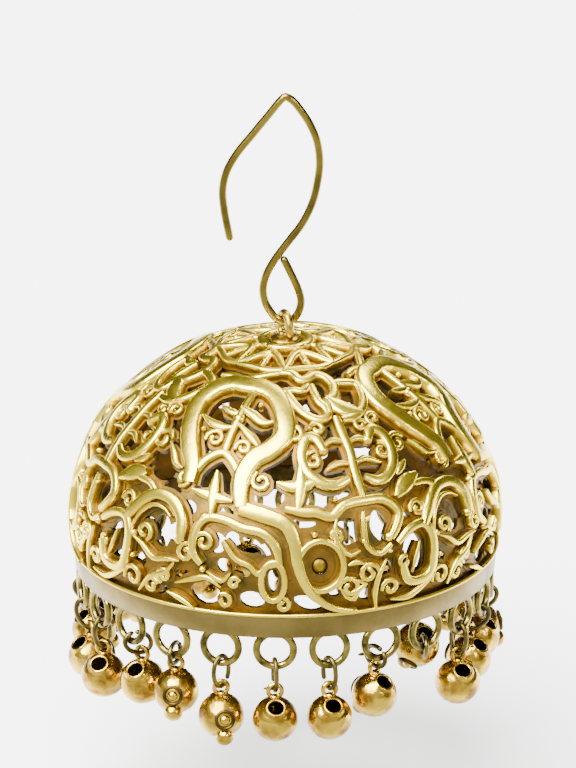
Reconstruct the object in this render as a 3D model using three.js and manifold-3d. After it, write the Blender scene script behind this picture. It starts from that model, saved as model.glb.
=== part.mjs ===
// Jhumka earring: a bent-wire ear hook, a crown ring, a pierced bell-shaped dome with a
// plain band and a row of cast loops, and one jump ring and one hollow ball bead on each loop.
// Millimetres, +Z up. The origin is the centre of the wire at the top of the ear hook's bow,
// where the earring hangs. -Y is the front, and azimuth is counted from the front towards +X.

import * as THREE from 'three';
import { mergeVertices } from 'three/addons/utils/BufferGeometryUtils.js';
import Module from 'manifold-3d';

const wasm = await Module();
wasm.setup();

// ---- Driving dimensions ----

const HOOK_WIRE = 0.65;
const HOOK_EYE_BOTTOM = -19.2;
const CLEARANCE = 0.05;

const CROWN_RING_RADIUS = 1.1;
const CROWN_RING_WIRE = 0.7;
const CROWN_RING_TURN = 20;
const COLLAR_RADIUS = 1.3;
const COLLAR_HEIGHT = 0.3;

const DOME_RADIUS = 17.5;
const DOME_RISE = 14.95;
const DOME_TOP = -20.75;
const RIM_RADIUS = 17.15;
const RIM_BOTTOM = -40;
const WALL = 0.9;
const BAND_HEIGHT = 2;
const BAND_STEP = 0.1;
const DOME_SIDES = 36;
const PATTERN_REPEATS = 4;

const LOOP_COUNT = 24;
const LOOP_PITCH = 360 / LOOP_COUNT;
const FIRST_LOOP = -167.8;
const LOOP_RADIUS = 1.45;
const LOOP_WIRE = 0.64;
const LOOP_DROP = 1.1;
const LOOP_CIRCLE = 16.85;

const RING_HALF_WIDTH = 0.85;
const RING_HALF_HEIGHT = 1.3;
const RING_WIRE = 0.4;

const BALL_RADIUS = 1.85;
const BALL_WALL = 0.35;
const MOUTH_RADIUS = 0.72;
const MOUTH_RISE = 52;
const EYELET_RADIUS = 0.55;
const EYELET_WIRE = 0.4;
const EYELET_TO_BALL = 2.4;
const NUB_RADIUS = 0.75;
const NUB_RISE = -42;

const radians = THREE.MathUtils.degToRad;

// ---- Metals ----

function metal(color, roughness) {
  return new THREE.MeshStandardMaterial({ color, roughness, metalness: 1 });
}

const hookGold = metal(0xb09a45, 0.35);
const crownGold = metal(0xc98d2a, 0.3);
const paleGold = metal(0xd9c56f, 0.38);
const oliveBrass = metal(0x7d6b34, 0.4);
const ballGold = metal(0xd1a03a, 0.25);

// ---- Solids and meshes ----

function toSolid(geometry) {
  const bare = geometry.clone();
  bare.deleteAttribute('normal');
  bare.deleteAttribute('uv');
  const merged = mergeVertices(bare, 1e-4);
  const mesh = new wasm.Mesh({
    numProp: 3,
    vertProperties: Float32Array.from(merged.attributes.position.array),
    triVerts: Uint32Array.from(merged.index.array),
  });
  return new wasm.Manifold(mesh);
}

function toGeometry(solid) {
  const mesh = solid.getMesh();
  const geometry = new THREE.BufferGeometry();
  geometry.setAttribute('position', new THREE.BufferAttribute(mesh.vertProperties, 3));
  geometry.setIndex(new THREE.BufferAttribute(mesh.triVerts, 1));
  return geometry;
}

function namedMesh(name, geometry, material) {
  const mesh = new THREE.Mesh(geometry, material);
  mesh.name = name;
  return mesh;
}

function numbered(name, number) {
  return `${name}_${String(number).padStart(2, '0')}`;
}

// ---- Ear hook: one wire from its free end over the bow, down the shank and round the eye ----

function earHook() {
  const bow = [
    { x: -4.46, z: -12.2 },
    { x: -4.93, z: -9.6 },
    { x: -5.05, z: -7.9 },
    { x: -4.75, z: -6.4 },
    { x: -3.96, z: -4.9 },
    { x: -2.61, z: -3.15 },
    { x: -1.35, z: -1.55 },
    { x: -0.4, z: -0.35 },
    { x: 0, z: 0 },
    { x: 0.5, z: -0.25 },
    { x: 1.15, z: -1.0 },
    { x: 1.95, z: -2.25 },
    { x: 2.57, z: -3.8 },
    { x: 2.78, z: -5.5 },
    { x: 2.61, z: -7.2 },
    { x: 2.2, z: -8.95 },
    { x: 1.4, z: -10.7 },
    { x: 0.25, z: -12.3 },
    { x: -0.85, z: -13.85 },
    { x: -1.55, z: -15.2 },
    { x: -1.8, z: -16.4 },
    { x: -1.6, z: -17.55 },
  ];
  const eye = [
    { x: -1.02, z: -18.55 },
    { x: -0.6, z: -18.98 },
    { x: 0, z: HOOK_EYE_BOTTOM },
    { x: 0.6, z: -18.98 },
    { x: 1.02, z: -18.45 },
    { x: 1.28, z: -17.5 },
    { x: 1.12, z: -16.6 },
    { x: 0.7, z: -15.55 },
    { x: -0.05, z: -13.95 },
  ];
  const points = [...bow, ...eye].map(({ x, z }) => new THREE.Vector3(x, 0, z));
  const path = new THREE.CatmullRomCurve3(points, false, 'centripetal');
  const section = new THREE.Shape();
  section.absarc(0, 0, HOOK_WIRE / 2, 0, 2 * Math.PI);
  return new THREE.ExtrudeGeometry(section, { extrudePath: path, steps: 56, curveSegments: 4 });
}

// ---- Crown ring: a soldered ring that stands on a low collar at the top of the dome ----

function crownRing() {
  const seat = DOME_TOP + CLEARANCE;
  const top = HOOK_EYE_BOTTOM + (HOOK_WIRE + CROWN_RING_WIRE) / 2 + CLEARANCE;
  const ring = new THREE.TorusGeometry(CROWN_RING_RADIUS, CROWN_RING_WIRE / 2, 8, 18);
  ring.rotateX(radians(90));
  ring.rotateZ(radians(90 + CROWN_RING_TURN));
  ring.translate(0, 0, top - CROWN_RING_RADIUS);
  const collar = new THREE.CylinderGeometry(COLLAR_RADIUS - 0.2, COLLAR_RADIUS, COLLAR_HEIGHT, 18);
  collar.rotateX(radians(90));
  collar.translate(0, 0, seat + COLLAR_HEIGHT / 2);
  const below = new THREE.BoxGeometry(6, 6, 2);
  below.translate(0, 0, seat - 1);
  return toGeometry(toSolid(ring).add(toSolid(collar)).subtract(toSolid(below)));
}

// ---- Dome: an elliptical bell, pierced all round, with a plain band and the cast loops ----

// The outer wall line runs from the rim's bottom edge up to the top of the dome.
const wallLine = new THREE.Path();
wallLine.moveTo(RIM_RADIUS, RIM_BOTTOM);
wallLine.quadraticCurveTo(DOME_RADIUS, RIM_BOTTOM + 2, DOME_RADIUS, DOME_TOP - DOME_RISE);
wallLine.absellipse(0, DOME_TOP - DOME_RISE, DOME_RADIUS, DOME_RISE, 0, Math.PI / 2);
const wallLength = wallLine.getLength();

function wallPoint(up, depth) {
  const share = Math.min(up / wallLength, 1);
  const point = wallLine.getPointAt(share);
  const tangent = wallLine.getTangentAt(share);
  return new THREE.Vector2(point.x - tangent.y * depth, point.y + tangent.x * depth);
}

function domeShell() {
  const outerRows = 8;
  const innerRows = 6;
  const profile = [
    wallPoint(0, -BAND_STEP),
    wallPoint(BAND_HEIGHT, -BAND_STEP),
    wallPoint(BAND_HEIGHT + BAND_STEP, 0),
  ];
  for (let row = 1; row < outerRows; row += 1) {
    const up = THREE.MathUtils.lerp(BAND_HEIGHT, wallLength, row / outerRows);
    profile.push(wallPoint(up, 0));
  }
  profile.push(new THREE.Vector2(0, DOME_TOP));
  profile.push(new THREE.Vector2(0, DOME_TOP - WALL));
  for (let row = innerRows - 1; row > 0; row -= 1) {
    profile.push(wallPoint((wallLength * row) / innerRows, WALL));
  }
  profile.push(new THREE.Vector2(RIM_RADIUS - WALL, RIM_BOTTOM));
  profile.push(profile[0].clone());
  const shell = new THREE.LatheGeometry(profile, DOME_SIDES);
  shell.rotateX(radians(90));
  return toSolid(shell);
}

// One quarter of the pierced scrollwork: each row is an opening between the scrolls.
// at is its azimuth and up its height along the wall above the rim.
const openings = [
  { at: -22, up: 3.6, wide: 1.9, tall: 1.7 },
  { at: -9.5, up: 3.4, wide: 1.7, tall: 1.3 },
  { at: -2.5, up: 5.8, wide: 1.3, tall: 2.2 },
  { at: 10, up: 6.4, wide: 2.1, tall: 2.0 },
  { at: 38, up: 5.9, wide: 2.3, tall: 2.9 },
  { at: -36, up: 8.0, wide: 2.6, tall: 2.6 },
  { at: -16, up: 7.6, wide: 2.2, tall: 1.6 },
  { at: 22, up: 9.0, wide: 2.8, tall: 1.9 },
  { at: -4.5, up: 11.8, wide: 2.4, tall: 1.9 },
  { at: 9, up: 11.9, wide: 2.1, tall: 1.5 },
  { at: -40, up: 13.0, wide: 2.3, tall: 2.2 },
  { at: -22, up: 13.2, wide: 2.9, tall: 1.8 },
  { at: 13, up: 15.5, wide: 2.6, tall: 2.4 },
  { at: 33, up: 15.3, wide: 2.6, tall: 2.4 },
  { at: -29, up: 18.0, wide: 2.1, tall: 2.6 },
  { at: -14, up: 17.8, wide: 2.3, tall: 2.2 },
  { at: 10, up: 20.9, wide: 2.0, tall: 2.0 },
  { at: 35, up: 20.8, wide: 2.4, tall: 1.8 },
  { at: -3, up: 24.4, wide: 1.8, tall: 1.4 },
  { at: 22, up: 24.8, wide: 1.6, tall: 2.0 },
];

function openingCutter({ at, up, wide, tall }) {
  const reach = 2 * WALL;
  const cutter = new THREE.CylinderGeometry(1, 1, reach, 6);
  cutter.scale(wide / 2, 1, tall / 2);
  const middle = wallPoint(up, WALL / 2);
  const outside = wallPoint(up, -WALL);
  const lean = Math.atan2(outside.y - middle.y, outside.x - middle.x);
  cutter.rotateX(radians(180) - lean);
  cutter.translate(0, -middle.x, middle.y);
  cutter.rotateZ(radians(at));
  return toSolid(cutter);
}

function castLoop(azimuth) {
  const loop = new THREE.TorusGeometry(LOOP_RADIUS, LOOP_WIRE / 2, 4, 10);
  loop.rotateX(radians(90));
  loop.translate(0, -LOOP_CIRCLE, RIM_BOTTOM - LOOP_DROP);
  loop.rotateZ(radians(azimuth));
  return toSolid(loop);
}

function loopAzimuth(index) {
  return FIRST_LOOP + index * LOOP_PITCH;
}

function dome() {
  const cutters = [];
  for (let repeat = 0; repeat < PATTERN_REPEATS; repeat += 1) {
    const start = (repeat * 360) / PATTERN_REPEATS;
    for (const row of openings) {
      cutters.push(openingCutter({ ...row, at: row.at + start }));
    }
  }
  const loops = [];
  for (let index = 0; index < LOOP_COUNT; index += 1) {
    loops.push(castLoop(loopAzimuth(index)));
  }
  const pierced = domeShell().subtract(wasm.Manifold.union(cutters));
  return toGeometry(pierced.add(wasm.Manifold.union(loops)));
}

// ---- Jump ring: an oval of thin wire, drawn hanging from the middle of the loop's wire ----

const ringCentreDrop = RING_HALF_HEIGHT - (LOOP_WIRE + RING_WIRE) / 2 - CLEARANCE;

function jumpRing() {
  const ring = new THREE.TorusGeometry(1, RING_WIRE / 2, 4, 8);
  const corners = ring.attributes.position;
  for (let index = 0; index < corners.count; index += 1) {
    const x = corners.getX(index);
    const y = corners.getY(index);
    const radius = Math.hypot(x, y);
    corners.setX(index, x + ((RING_HALF_WIDTH - 1) * x) / radius);
    corners.setY(index, y + ((RING_HALF_HEIGHT - 1) * y) / radius);
  }
  ring.rotateX(radians(90));
  ring.rotateZ(radians(90));
  ring.translate(0, 0, -ringCentreDrop);
  return ring;
}

// The bead hangs from the lowest point of its ring, which moves as the ring leans inwards.
function lowestOfRing(lean) {
  const long = RING_HALF_HEIGHT * Math.cos(lean);
  const wide = RING_HALF_WIDTH * Math.sin(lean);
  const depth = Math.hypot(long, wide);
  const along = (RING_HALF_HEIGHT * long * Math.sin(lean)) / depth;
  const across = (RING_HALF_WIDTH * wide * Math.cos(lean)) / depth;
  return {
    inward: ringCentreDrop * Math.sin(lean) + along - across,
    down: ringCentreDrop * Math.cos(lean) + depth,
  };
}

// ---- Ball bead: a thin hollow ball with a round mouth, an eyelet and a nub ----

function onBall(geometry, rise, distance) {
  geometry.rotateX(radians(rise));
  const out = distance * Math.cos(radians(rise));
  geometry.translate(0, out, distance * Math.sin(radians(rise)) - EYELET_TO_BALL);
  return toSolid(geometry);
}

function ballBead() {
  const outer = BALL_RADIUS;
  const inner = BALL_RADIUS - BALL_WALL;
  const outerEdge = Math.acos(MOUTH_RADIUS / outer);
  const innerEdge = Math.acos(MOUTH_RADIUS / inner);
  const profile = [];
  const outerRows = 4;
  for (let row = 0; row <= outerRows; row += 1) {
    const angle = THREE.MathUtils.lerp(-Math.PI / 2, outerEdge, row / outerRows);
    profile.push(new THREE.Vector2(outer * Math.cos(angle), outer * Math.sin(angle)));
  }
  const innerRows = 2;
  for (let row = innerRows; row >= 0; row -= 1) {
    const angle = THREE.MathUtils.lerp(-Math.PI / 2, innerEdge, row / innerRows);
    profile.push(new THREE.Vector2(inner * Math.cos(angle), inner * Math.sin(angle)));
  }
  profile[0].x = 0;
  profile[profile.length - 1].x = 0;
  const ball = new THREE.LatheGeometry(profile, 8);
  ball.rotateX(radians(180 - MOUTH_RISE));
  ball.translate(0, 0, -EYELET_TO_BALL);
  const eyelet = new THREE.TorusGeometry(EYELET_RADIUS, EYELET_WIRE / 2, 4, 6);
  eyelet.rotateZ(radians(30));
  eyelet.rotateX(radians(90));
  const nub = new THREE.IcosahedronGeometry(NUB_RADIUS, 0);
  const parts = [
    toSolid(ball),
    toSolid(eyelet),
    onBall(nub, NUB_RISE, BALL_RADIUS + NUB_RADIUS / 4),
  ];
  return toGeometry(wasm.Manifold.union(parts));
}

// ---- How each drop hangs ----

// at picks the loop by its place, counted round from the front loop towards +X.
// lean is how far the ring leans in under the dome, twist how far the ring is turned
// from square across its loop, and face how far the mouth is turned from facing outwards.
// caught is how far a ring and its bead are held up together, in under the dome.
const drops = [
  { at: 0, lean: 0, twist: 12, face: -4 },
  { at: 1, lean: 0, twist: 24, face: -18 },
  { at: 2, lean: 82, twist: 8, face: 12 },
  { at: 3, lean: 0, twist: -34, face: 150, caught: 70 },
  { at: 4, lean: 8, twist: -14, face: -20 },
  { at: 5, lean: 50, twist: 10, face: -24 },
  { at: 6, lean: 56, twist: -6, face: -10 },
  { at: 7, lean: 20, twist: 18, face: 160 },
  { at: 8, lean: 6, twist: -20, face: 10 },
  { at: 9, lean: 0, twist: 14, face: 172 },
  { at: 10, lean: 35, twist: -10, face: -14 },
  { at: 11, lean: 0, twist: 22, face: 8 },
  { at: 12, lean: 12, twist: -16, face: -22 },
  { at: 13, lean: 60, twist: 6, face: 186 },
  { at: 14, lean: 0, twist: 20, face: 16 },
  { at: 15, lean: 78, twist: -8, face: -6 },
  { at: 16, lean: 10, twist: 16, face: 20 },
  { at: 17, lean: 30, twist: -22, face: 168 },
  { at: 18, lean: 58, twist: 12, face: 14 },
  { at: 19, lean: 20, twist: -12, face: 28 },
  { at: 20, lean: 10, twist: 18, face: 24 },
  { at: 21, lean: 66, twist: -10, face: 26 },
  { at: 22, lean: 76, twist: 14, face: 190 },
  { at: 23, lean: 0, twist: -26, face: 234 },
];

const FRONT_LOOP = 11;

function addDrops(earring) {
  const ringShape = jumpRing();
  const beadShape = ballBead();
  drops.forEach(({ at, lean, twist, face, caught = 0 }, index) => {
    const round = new THREE.Group();
    round.rotation.z = radians(loopAzimuth(FRONT_LOOP + at));
    const hang = new THREE.Group();
    hang.position.set(0, -LOOP_CIRCLE, RIM_BOTTOM - LOOP_DROP - LOOP_RADIUS);
    hang.rotation.set(radians(caught), 0, radians(twist), 'ZYX');
    const ring = namedMesh(numbered('jump_ring', index + 1), ringShape, oliveBrass);
    ring.rotation.x = radians(lean);
    const bead = namedMesh(numbered('bead', index + 1), beadShape, ballGold);
    const lowest = lowestOfRing(radians(lean));
    const eyeletDrop = EYELET_RADIUS - (RING_WIRE + EYELET_WIRE) / 2 - CLEARANCE;
    bead.position.set(0, lowest.inward, -lowest.down - eyeletDrop);
    bead.rotation.z = radians(face);
    hang.add(ring, bead);
    round.add(hang);
    earring.add(round);
  });
}

// ---- The earring ----

const earring = new THREE.Group();
earring.add(namedMesh('ear_hook', earHook(), hookGold));
earring.add(namedMesh('crown_ring', crownRing(), crownGold));
earring.add(namedMesh('dome', dome(), paleGold));
addDrops(earring);

export default earring;
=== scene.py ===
# A jhumka earring: a bent ear wire, a crown ring, a pierced bell of cast gold-plated brass with
# a plain band and cast loops, and a hollow ball bead on a jump ring at each loop.
# Shapes are worked out in millimetres and put in place in metres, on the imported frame.
import bisect
import math
import random

import bmesh
import bpy
from mathutils import Matrix, Vector
from mathutils.geometry import interpolate_bezier


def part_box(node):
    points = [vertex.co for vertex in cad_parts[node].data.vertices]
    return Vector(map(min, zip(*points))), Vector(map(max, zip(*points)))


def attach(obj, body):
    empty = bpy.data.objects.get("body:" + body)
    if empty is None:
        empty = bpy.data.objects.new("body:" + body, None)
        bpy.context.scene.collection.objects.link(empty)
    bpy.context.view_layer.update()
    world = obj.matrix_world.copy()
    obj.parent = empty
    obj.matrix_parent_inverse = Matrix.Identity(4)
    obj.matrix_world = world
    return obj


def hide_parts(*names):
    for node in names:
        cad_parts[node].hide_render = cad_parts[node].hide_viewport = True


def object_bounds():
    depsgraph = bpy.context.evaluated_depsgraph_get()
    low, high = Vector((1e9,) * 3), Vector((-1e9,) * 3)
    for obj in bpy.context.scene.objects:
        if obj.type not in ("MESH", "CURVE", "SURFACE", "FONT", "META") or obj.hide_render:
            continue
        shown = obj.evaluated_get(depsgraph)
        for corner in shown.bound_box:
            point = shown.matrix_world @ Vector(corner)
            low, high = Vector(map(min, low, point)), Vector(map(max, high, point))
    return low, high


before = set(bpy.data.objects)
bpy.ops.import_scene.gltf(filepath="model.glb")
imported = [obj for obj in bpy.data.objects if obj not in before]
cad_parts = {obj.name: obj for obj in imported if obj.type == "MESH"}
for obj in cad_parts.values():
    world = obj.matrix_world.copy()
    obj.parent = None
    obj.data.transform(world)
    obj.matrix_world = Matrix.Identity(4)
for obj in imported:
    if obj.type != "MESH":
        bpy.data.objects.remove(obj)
cad_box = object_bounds()


# ---- Ear hook ----
# One piece of drawn brass wire, gold plated: the free end, a pointed bow, the shank and an
# eye bent round at its foot. The cut ends are filed round.

MM = 0.001
HOOK_WIRE = 0.65
HOOK_SIDES = 24
HOOK_STEP = 0.16
hook_points = [
    (-4.46, 0, -12.2),
    (-4.93, 0, -9.6),
    (-5.05, 0, -7.9),
    (-4.75, 0, -6.4),
    (-3.96, 0, -4.9),
    (-2.61, 0, -3.15),
    (-1.35, 0, -1.55),
    (-0.4, 0, -0.35),
    (0, 0, 0),
    (0.5, 0, -0.25),
    (1.15, 0, -1.0),
    (1.95, 0, -2.25),
    (2.57, 0, -3.8),
    (2.78, 0, -5.5),
    (2.61, 0, -7.2),
    (2.2, 0, -8.95),
    (1.4, 0, -10.7),
    (0.25, 0, -12.3),
    (-0.85, 0, -13.85),
    (-1.55, 0, -15.2),
    (-1.8, 0, -16.4),
    (-1.6, 0, -17.55),
    (-1.02, 0, -18.55),
    (-0.6, 0, -18.98),
    (0, 0, -19.2),
    (0.6, 0, -18.98),
    (1.02, 0, -18.45),
    (1.28, 0, -17.5),
    (1.12, 0, -16.6),
    (0.7, 0, -15.55),
    (-0.05, 0, -13.95),
    (-0.22, 0, -13.6),
]


def smooth_route(points, step):
    """Points about a step apart on a smooth curve through the given ones."""
    points = [Vector(point) for point in points]
    padded = [2 * points[0] - points[1], *points, 2 * points[-1] - points[-2]]
    route = []
    for before, start, end, after in zip(padded, padded[1:], padded[2:], padded[3:]):
        gap_in = (start - before).length ** 0.5
        gap = (end - start).length ** 0.5
        gap_out = (after - end).length ** 0.5
        pull = (end - start) / gap
        leave = (start - before) / gap_in - (end - before) / (gap_in + gap) + pull
        arrive = pull - (after - start) / (gap + gap_out) + (after - end) / gap_out
        first_handle = start + leave * gap / 3
        last_handle = end - arrive * gap / 3
        count = max(1, round((end - start).length / step))
        route += interpolate_bezier(start, first_handle, last_handle, end, count + 1)[:-1]
    route.append(points[-1])
    return route


def station(place, along, out, half_width, half_height):
    """The place and size of a bar's section: X across it, Y outwards and Z along the bar."""
    along = along.normalized()
    across = out.cross(along).normalized()
    out = along.cross(across)
    matrix = Matrix((across * half_width, out * half_height, along)).transposed().to_4x4()
    matrix.translation = place
    return matrix


def draw_bar(stations, section):
    """A closed bar: the outline of its section, drawn on from station to station."""
    bar = bmesh.new()
    bar.faces.new([bar.verts.new((across, out, 0)) for across, out in section])
    bmesh.ops.transform(bar, matrix=stations[0], verts=bar.verts)
    edges = bar.edges[:]
    for here, there in zip(stations, stations[1:]):
        drawn = bmesh.ops.extrude_edge_only(bar, edges=edges)["geom"]
        verts = [part for part in drawn if isinstance(part, bmesh.types.BMVert)]
        bmesh.ops.transform(bar, matrix=there @ here.inverted(), verts=verts)
        fresh = set(verts)
        drawn_edges = [part for part in drawn if isinstance(part, bmesh.types.BMEdge)]
        edges = [edge for edge in drawn_edges if fresh.issuperset(edge.verts)]
    bmesh.ops.contextual_create(bar, geom=edges)
    bmesh.ops.recalc_face_normals(bar, faces=bar.faces)
    return bar


def draw_wire(points, radius, sides, side, tip):
    """A round wire through the points, with both ends filed round over the tip's length."""
    turns = [2 * math.pi * corner / sides for corner in range(sides)]
    section = [(math.cos(turn), math.sin(turn)) for turn in turns]
    travelled = [0.0]
    for start, end in zip(points, points[1:]):
        travelled.append(travelled[-1] + (end - start).length)
    stations = []
    for index, point in enumerate(points):
        ahead = points[min(index + 1, len(points) - 1)]
        behind = points[max(index - 1, 0)]
        from_end = min(travelled[index], travelled[-1] - travelled[index])
        share = min(1, (from_end + 0.1 * tip) / tip)
        size = radius * math.sqrt(1 - (1 - share) ** 2)
        stations.append(station(point, ahead - behind, side, size, size))
    return draw_bar(stations, section)


def new_piece(name, mesh, metal):
    """Puts a finished mesh, drawn in millimetres, in place as a smooth piece of one metal."""
    bmesh.ops.scale(mesh, vec=(MM, MM, MM), verts=mesh.verts)
    data = bpy.data.meshes.new(name)
    mesh.to_mesh(data)
    mesh.free()
    data.shade_smooth()
    data.materials.append(metal)
    piece = bpy.data.objects.new(name, data)
    bpy.context.scene.collection.objects.link(piece)
    return piece


def plated_gold(name, bright, dull, patch, gloss, matt, grain, depth):
    """Gold plate with duller patches of a size patch, and a fine grain pressed to a depth."""
    metal = bpy.data.materials.new(name)
    metal.use_nodes = True
    nodes = metal.node_tree.nodes
    link = metal.node_tree.links.new
    shader = nodes["Principled BSDF"]
    shader.inputs["Metallic"].default_value = 1
    place = nodes.new("ShaderNodeTexCoord")
    patches = nodes.new("ShaderNodeTexNoise")
    patches.name = "patches"
    patches.inputs["Scale"].default_value = 1 / patch
    patches.inputs["Detail"].default_value = 5
    link(place.outputs["Object"], patches.inputs["Vector"])
    tone = nodes.new("ShaderNodeValToRGB")
    tone.name = "tone"
    tone.color_ramp.elements[0].position = 0.34
    tone.color_ramp.elements[0].color = (*dull, 1)
    tone.color_ramp.elements[1].position = 0.62
    tone.color_ramp.elements[1].color = (*bright, 1)
    link(patches.outputs["Fac"], tone.inputs["Fac"])
    link(tone.outputs["Color"], shader.inputs["Base Color"])
    wear = nodes.new("ShaderNodeMapRange")
    wear.name = "wear"
    wear.inputs["From Min"].default_value = 0.3
    wear.inputs["From Max"].default_value = 0.7
    wear.inputs["To Min"].default_value = matt
    wear.inputs["To Max"].default_value = gloss
    link(patches.outputs["Fac"], wear.inputs["Value"])
    link(wear.outputs["Result"], shader.inputs["Roughness"])
    grains = nodes.new("ShaderNodeTexNoise")
    grains.name = "grains"
    grains.inputs["Scale"].default_value = 1 / grain
    grains.inputs["Detail"].default_value = 3
    link(place.outputs["Object"], grains.inputs["Vector"])
    bump = nodes.new("ShaderNodeBump")
    bump.inputs["Strength"].default_value = 1
    bump.inputs["Distance"].default_value = depth
    link(grains.outputs["Fac"], bump.inputs["Height"])
    link(bump.outputs["Normal"], shader.inputs["Normal"])
    return metal


hook_gold = plated_gold(
    "hook_gold",
    bright=(0.27, 0.20, 0.03),
    dull=(0.07, 0.052, 0.009),
    patch=0.0045,
    gloss=0.16,
    matt=0.32,
    grain=0.00035,
    depth=0.000012,
)
hook_route = smooth_route(hook_points, HOOK_STEP)
hook_mesh = draw_wire(hook_route, HOOK_WIRE / 2, HOOK_SIDES, Vector((0, 1, 0)), 0.3)
ear_wire = new_piece("ear_wire", hook_mesh, hook_gold)
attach(ear_wire, "hook")
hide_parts("ear_hook")


# ---- Crown ring ----
# A thick ring of amber gold soldered upright on a low turned collar, with a bead of solder at
# each side of its foot. The ear wire's eye passes through it.

CROWN_RING_RADIUS = 1.1
CROWN_RING_WIRE = 0.7
CROWN_RING_TURN = math.radians(20)
COLLAR_RADIUS = 1.3
COLLAR_HEIGHT = 0.3
SOLDER_REACH = 0.62
crown_low, crown_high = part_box("crown_ring")
crown_foot = crown_low.z / MM
crown_top = crown_high.z / MM


def join(whole, part):
    """Adds one mesh to another, and frees it."""
    carrier = bpy.data.meshes.new("carrier")
    part.to_mesh(carrier)
    part.free()
    whole.from_mesh(carrier)
    bpy.data.meshes.remove(carrier)


def turned(profile, steps):
    """A solid turned on the Z axis from a closed outline of (radius, height) points."""
    solid = bmesh.new()
    verts = [solid.verts.new((radius, 0, height)) for radius, height in profile]
    edges = [solid.edges.new(pair) for pair in zip(verts, verts[1:] + verts[:1])]
    bmesh.ops.spin(
        solid,
        geom=verts + edges,
        cent=(0, 0, 0),
        axis=(0, 0, 1),
        angle=2 * math.pi,
        steps=steps,
        use_merge=True,
    )
    bmesh.ops.remove_doubles(solid, verts=solid.verts, dist=1e-4)
    bmesh.ops.recalc_face_normals(solid, faces=solid.faces)
    return solid


def round_ring(radius, wire_radius, steps, sides):
    """A ring of round wire that lies in the XY plane about the Z axis."""
    turns = [2 * math.pi * side / sides for side in range(sides)]
    profile = [(radius + wire_radius * math.cos(turn), wire_radius * math.sin(turn)) for turn in turns]
    return turned(profile, steps)


crown_mesh = round_ring(CROWN_RING_RADIUS, CROWN_RING_WIRE / 2, 64, 24)
upright = Matrix.Rotation(math.pi / 2 + CROWN_RING_TURN, 4, "Z") @ Matrix.Rotation(math.pi / 2, 4, "X")
ring_centre = crown_top - CROWN_RING_RADIUS - CROWN_RING_WIRE / 2
ring_place = Matrix.Translation((0, 0, ring_centre)) @ upright
bmesh.ops.transform(crown_mesh, matrix=ring_place, verts=crown_mesh.verts)
bmesh.ops.bisect_plane(
    crown_mesh,
    geom=crown_mesh.verts[:] + crown_mesh.edges[:] + crown_mesh.faces[:],
    plane_co=(0, 0, crown_foot + 0.02),
    plane_no=(0, 0, 1),
    clear_inner=True,
)
bmesh.ops.holes_fill(crown_mesh, edges=crown_mesh.edges[:])
collar_top = crown_foot + COLLAR_HEIGHT
collar_profile = [
    (0.001, crown_foot),
    (COLLAR_RADIUS, crown_foot),
    (COLLAR_RADIUS, crown_foot + 0.12),
    (COLLAR_RADIUS - 0.08, crown_foot + 0.2),
    (COLLAR_RADIUS - 0.25, collar_top),
    (COLLAR_RADIUS - 0.6, collar_top + 0.04),
    (0.001, collar_top + 0.06),
]
join(crown_mesh, turned(collar_profile, 48))
round_turn = Matrix.Rotation(math.pi / 2 + CROWN_RING_TURN, 4, "Z")
for side in (-1, 1):
    along_ring = round_turn @ Vector((side * SOLDER_REACH, 0, 0))
    blob_place = Matrix.Translation((along_ring.x, along_ring.y, collar_top))
    blob_size = Matrix.Diagonal((0.42, 0.42, 0.3, 1))
    bmesh.ops.create_uvsphere(
        crown_mesh,
        u_segments=16,
        v_segments=10,
        radius=1,
        matrix=blob_place @ blob_size,
    )
crown_gold = plated_gold(
    "crown_gold",
    bright=(0.52, 0.36, 0.04),
    dull=(0.18, 0.105, 0.01),
    patch=0.0011,
    gloss=0.2,
    matt=0.36,
    grain=0.0003,
    depth=0.00003,
)
crown_loop = new_piece("crown_loop", crown_mesh, crown_gold)
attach(crown_loop, "drop")
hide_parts("crown_ring")


# ---- Scrollwork bell ----
# The bell is cast with its scrolls in one piece: a thin sheet, pierced all over, with raised
# ribbons, leaves and dots running over it. The pattern of one quarter comes four times round.
# A row's at is its azimuth in degrees from the quarter's middle, and up its height above the
# rim along the wall in millimetres.

DOME_RADIUS = 17.5
DOME_RISE = 14.95
DOME_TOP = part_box("dome")[1].z / MM
RIM_RADIUS = 17.15
RIM_BOTTOM = -40.0
FOOT_BULGE = 2.0
SHOULDER = DOME_TOP - DOME_RISE
SHEET_TOP_DEPTH = 0.45
SHEET_BACK_DEPTH = 0.85
SHEET_FOOT = 1.6
SHEET_HEAD = 12.9
RIBBON_BACK_DEPTH = 0.8
RIBBON_STEP = 0.4
WEB_REACH = 0.26
WEB_STEP = 0.6
WEB_TOP_DEPTH = 0.34
WEB_BACK_DEPTH = 0.88
UNEVEN = 0.025
CURL_WIDTH = 0.42
CURL_PROUD = 0.1
CURL_SHRINK = 0.72
QUARTERS = 4
DEGREE = 0.29
EDGE_ANGLE = math.radians(42)
SHEET_ROWS = 24
SHEET_TURNS = 180
HOOP_TURNS = 24
CURL_TURNS = 12
chance = random.Random(12)

# Half a ribbon's section is 1 wide and 1 high: straight sides, eased edges, a nearly flat top.
RIBBON_SECTION = [
    (-1, -1),
    (1, -1),
    (1, 0.62),
    (0.88, 0.88),
    (0.62, 0.99),
    (0, 1.04),
    (-0.62, 0.99),
    (-0.88, 0.88),
    (-1, 0.62),
]
WEB_SECTION = [(-1, -1), (1, -1), (1, 0.8), (0, 1), (-1, 0.8)]


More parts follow.
